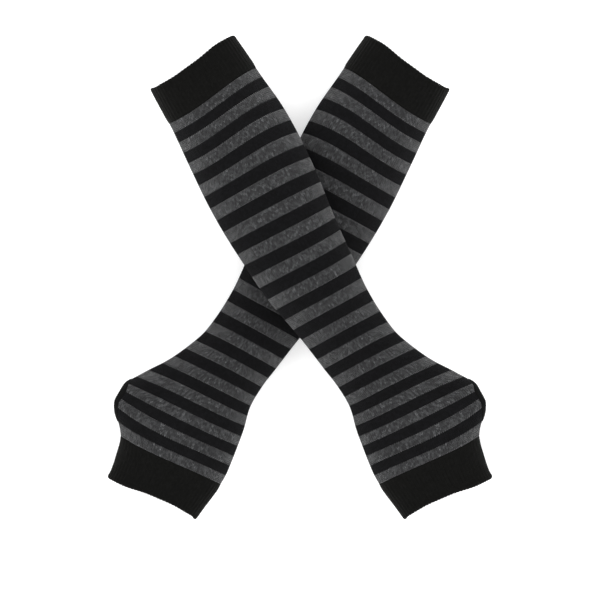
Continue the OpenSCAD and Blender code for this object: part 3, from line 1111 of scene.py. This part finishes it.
@dataclass
class Glove:
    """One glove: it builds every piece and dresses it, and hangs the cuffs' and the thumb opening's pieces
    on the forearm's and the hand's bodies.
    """

    form: GloveForm
    side: Side
    finishes: Finishes
    bend_reach: float = 24.0

    @property
    def forearm(self) -> str:
        """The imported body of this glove's forearm."""
        return f"{self.side.word}_forearm"

    @property
    def hand(self) -> str:
        """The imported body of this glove's hand."""
        return f"{self.side.word}_hand"

    def _bend_point(self, step: float) -> tuple[float, float, float]:
        """A point on the axis, a step past the wrist hinge, at the hinge's height."""
        wrist = np.array(self.form.wrist_at)
        lift = float(self.form.rise(wrist)) if self.side is Side.RIGHT else 0.0
        height = float(self.form.middle_height(wrist)) + lift
        at = np.array([self.form.wrist_at + step, 0.0, height])
        return tuple(float(v) for v in self.form.placed(at, self.side))

    def _bending(self, piece: Piece, finish: str, node: str) -> None:
        """A sleeve piece, built in place and hung on neither the forearm nor the hand."""
        made = piece.build(self.finishes.get(finish))
        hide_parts(f"{self.side.word}_{node}")
        start, end = self._bend_point(-self.bend_reach), self._bend_point(self.bend_reach)
        self.forearm
        self.hand
        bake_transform(made)

    def _riding(self, piece: Piece, finish: str, node: str, body: str) -> None:
        """A piece that moves with one body."""
        made = piece.build(self.finishes.get(finish))
        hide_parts(f"{self.side.word}_{node}")
        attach(made, body)

    def build(self) -> None:
        """Builds the whole glove."""
        sleeve = Sleeve(self.form, self.side)
        for zone in Zone:
            self._bending(sleeve.stripes(zone, True), "grey", f"{zone.word}_grey_bands")
            self._bending(sleeve.stripes(zone, False), "black", f"{zone.word}_black_bands")
            self._bending(sleeve.plating(zone), "plating", f"{zone.word}_plating")
        for at_hand, body in ((False, self.forearm), (True, self.hand)):
            cuff = Cuff(self.form, self.side, at_hand)
            node = "hand_cuff" if at_hand else "arm_cuff"
            self._riding(cuff.rib(), "rib", node, body)
            self._riding(cuff.elastic(), "elastic", f"{node}_elastic", body)
            self._riding(cuff.linking(), "thread", f"{node}_linking", body)
        thumb = ThumbOpening(self.form, self.side)
        self._riding(thumb.binding(), "binding", "thumb_binding", self.hand)
        self._riding(thumb.overlock(), "thread", "thumb_overlock", self.hand)


# ---------------------------------------------------------------- studio


@dataclass
class Studio:
    """The pale floor, the soft lights and the camera straight above the gloves."""

    frame_width: float = 0.432
    middle_y: float = -0.01622
    middle_z: float = 0.022
    lens: float = 400.0
    sensor: float = 36.0
    floor_size: float = 8.0
    floor_hex: str = "#fbfbfb"
    softboxes: tuple[tuple[tuple[float, float, float], float, float], ...] = (
        ((-0.9, 0.7, 1.5), 1.6, 8.0),
        ((1.1, 0.3, 1.4), 1.6, 7.0),
        ((0.0, -1.3, 1.3), 1.4, 5.0),
    )
    sky: float = 1.3
    floor_glow: float = 0.3

    def camera(self) -> None:
        """A long lens that looks straight down on the middle of the pair."""
        data = bpy.data.cameras.new("Overhead camera")
        data.lens = self.lens
        data.sensor_width = self.sensor
        data.clip_end = 50.0
        seat = bpy.data.objects.new("Overhead camera", data)
        reach = self.frame_width * self.lens / self.sensor
        seat.location = (0.0, self.middle_y, self.middle_z + reach)
        bpy.context.scene.collection.objects.link(seat)
        bpy.context.scene.camera = seat

    def floor(self) -> None:
        """A plain matt light table, just under the gloves, that keeps their shadows faint."""
        half = self.floor_size / 2
        mesh = bpy.data.meshes.new("Studio floor")
        corners = [(-half, -half, 0), (half, -half, 0), (half, half, 0), (-half, half, 0)]
        mesh.from_pydata(corners, [], [(0, 1, 2, 3)])
        material = bpy.data.materials.new("Matt white studio paper")
        material.use_nodes = True
        shader = material.node_tree.nodes["Principled BSDF"]
        shader.inputs["Base Color"].default_value = linear(self.floor_hex)
        shader.inputs["Roughness"].default_value = 0.95
        shader.inputs["Specular IOR Level"].default_value = 0.0
        shader.inputs["Emission Color"].default_value = (1.0, 1.0, 1.0, 1.0)
        shader.inputs["Emission Strength"].default_value = self.floor_glow
        mesh.materials.append(material)
        made = bpy.data.objects.new("Studio floor", mesh)
        made.location = (0, 0, -0.0006)
        bpy.context.scene.collection.objects.link(made)

    def lights(self) -> None:
        """Large softboxes and an even sky."""
        for place, size, power in self.softboxes:
            data = bpy.data.lights.new("Softbox", "AREA")
            data.shape = "SQUARE"
            data.size = size
            data.energy = power
            box = bpy.data.objects.new("Softbox", data)
            box.location = place
            away = np.array(place) / np.linalg.norm(place)
            box.rotation_euler = (math.acos(away[2]), 0.0, math.atan2(away[1], away[0]) + math.pi / 2)
            bpy.context.scene.collection.objects.link(box)
        world = bpy.data.worlds.new("Studio sky")
        world.use_nodes = True
        sky = world.node_tree.nodes["Background"]
        sky.inputs["Color"].default_value = (1.0, 1.0, 1.0, 1.0)
        sky.inputs["Strength"].default_value = self.sky
        bpy.context.scene.world = world
        bpy.context.scene.view_settings.view_transform = "Standard"


def main() -> None:
    """Builds the pair and the studio."""
    logging.basicConfig(level=logging.INFO, format="%(message)s")
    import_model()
    studio = Studio()
    studio.camera()
    form = GloveForm()
    finishes = Finishes()
    for side in Side:
        Glove(form, side, finishes).build()
    studio.floor()
    studio.lights()


if __name__ == "__main__":
    main()
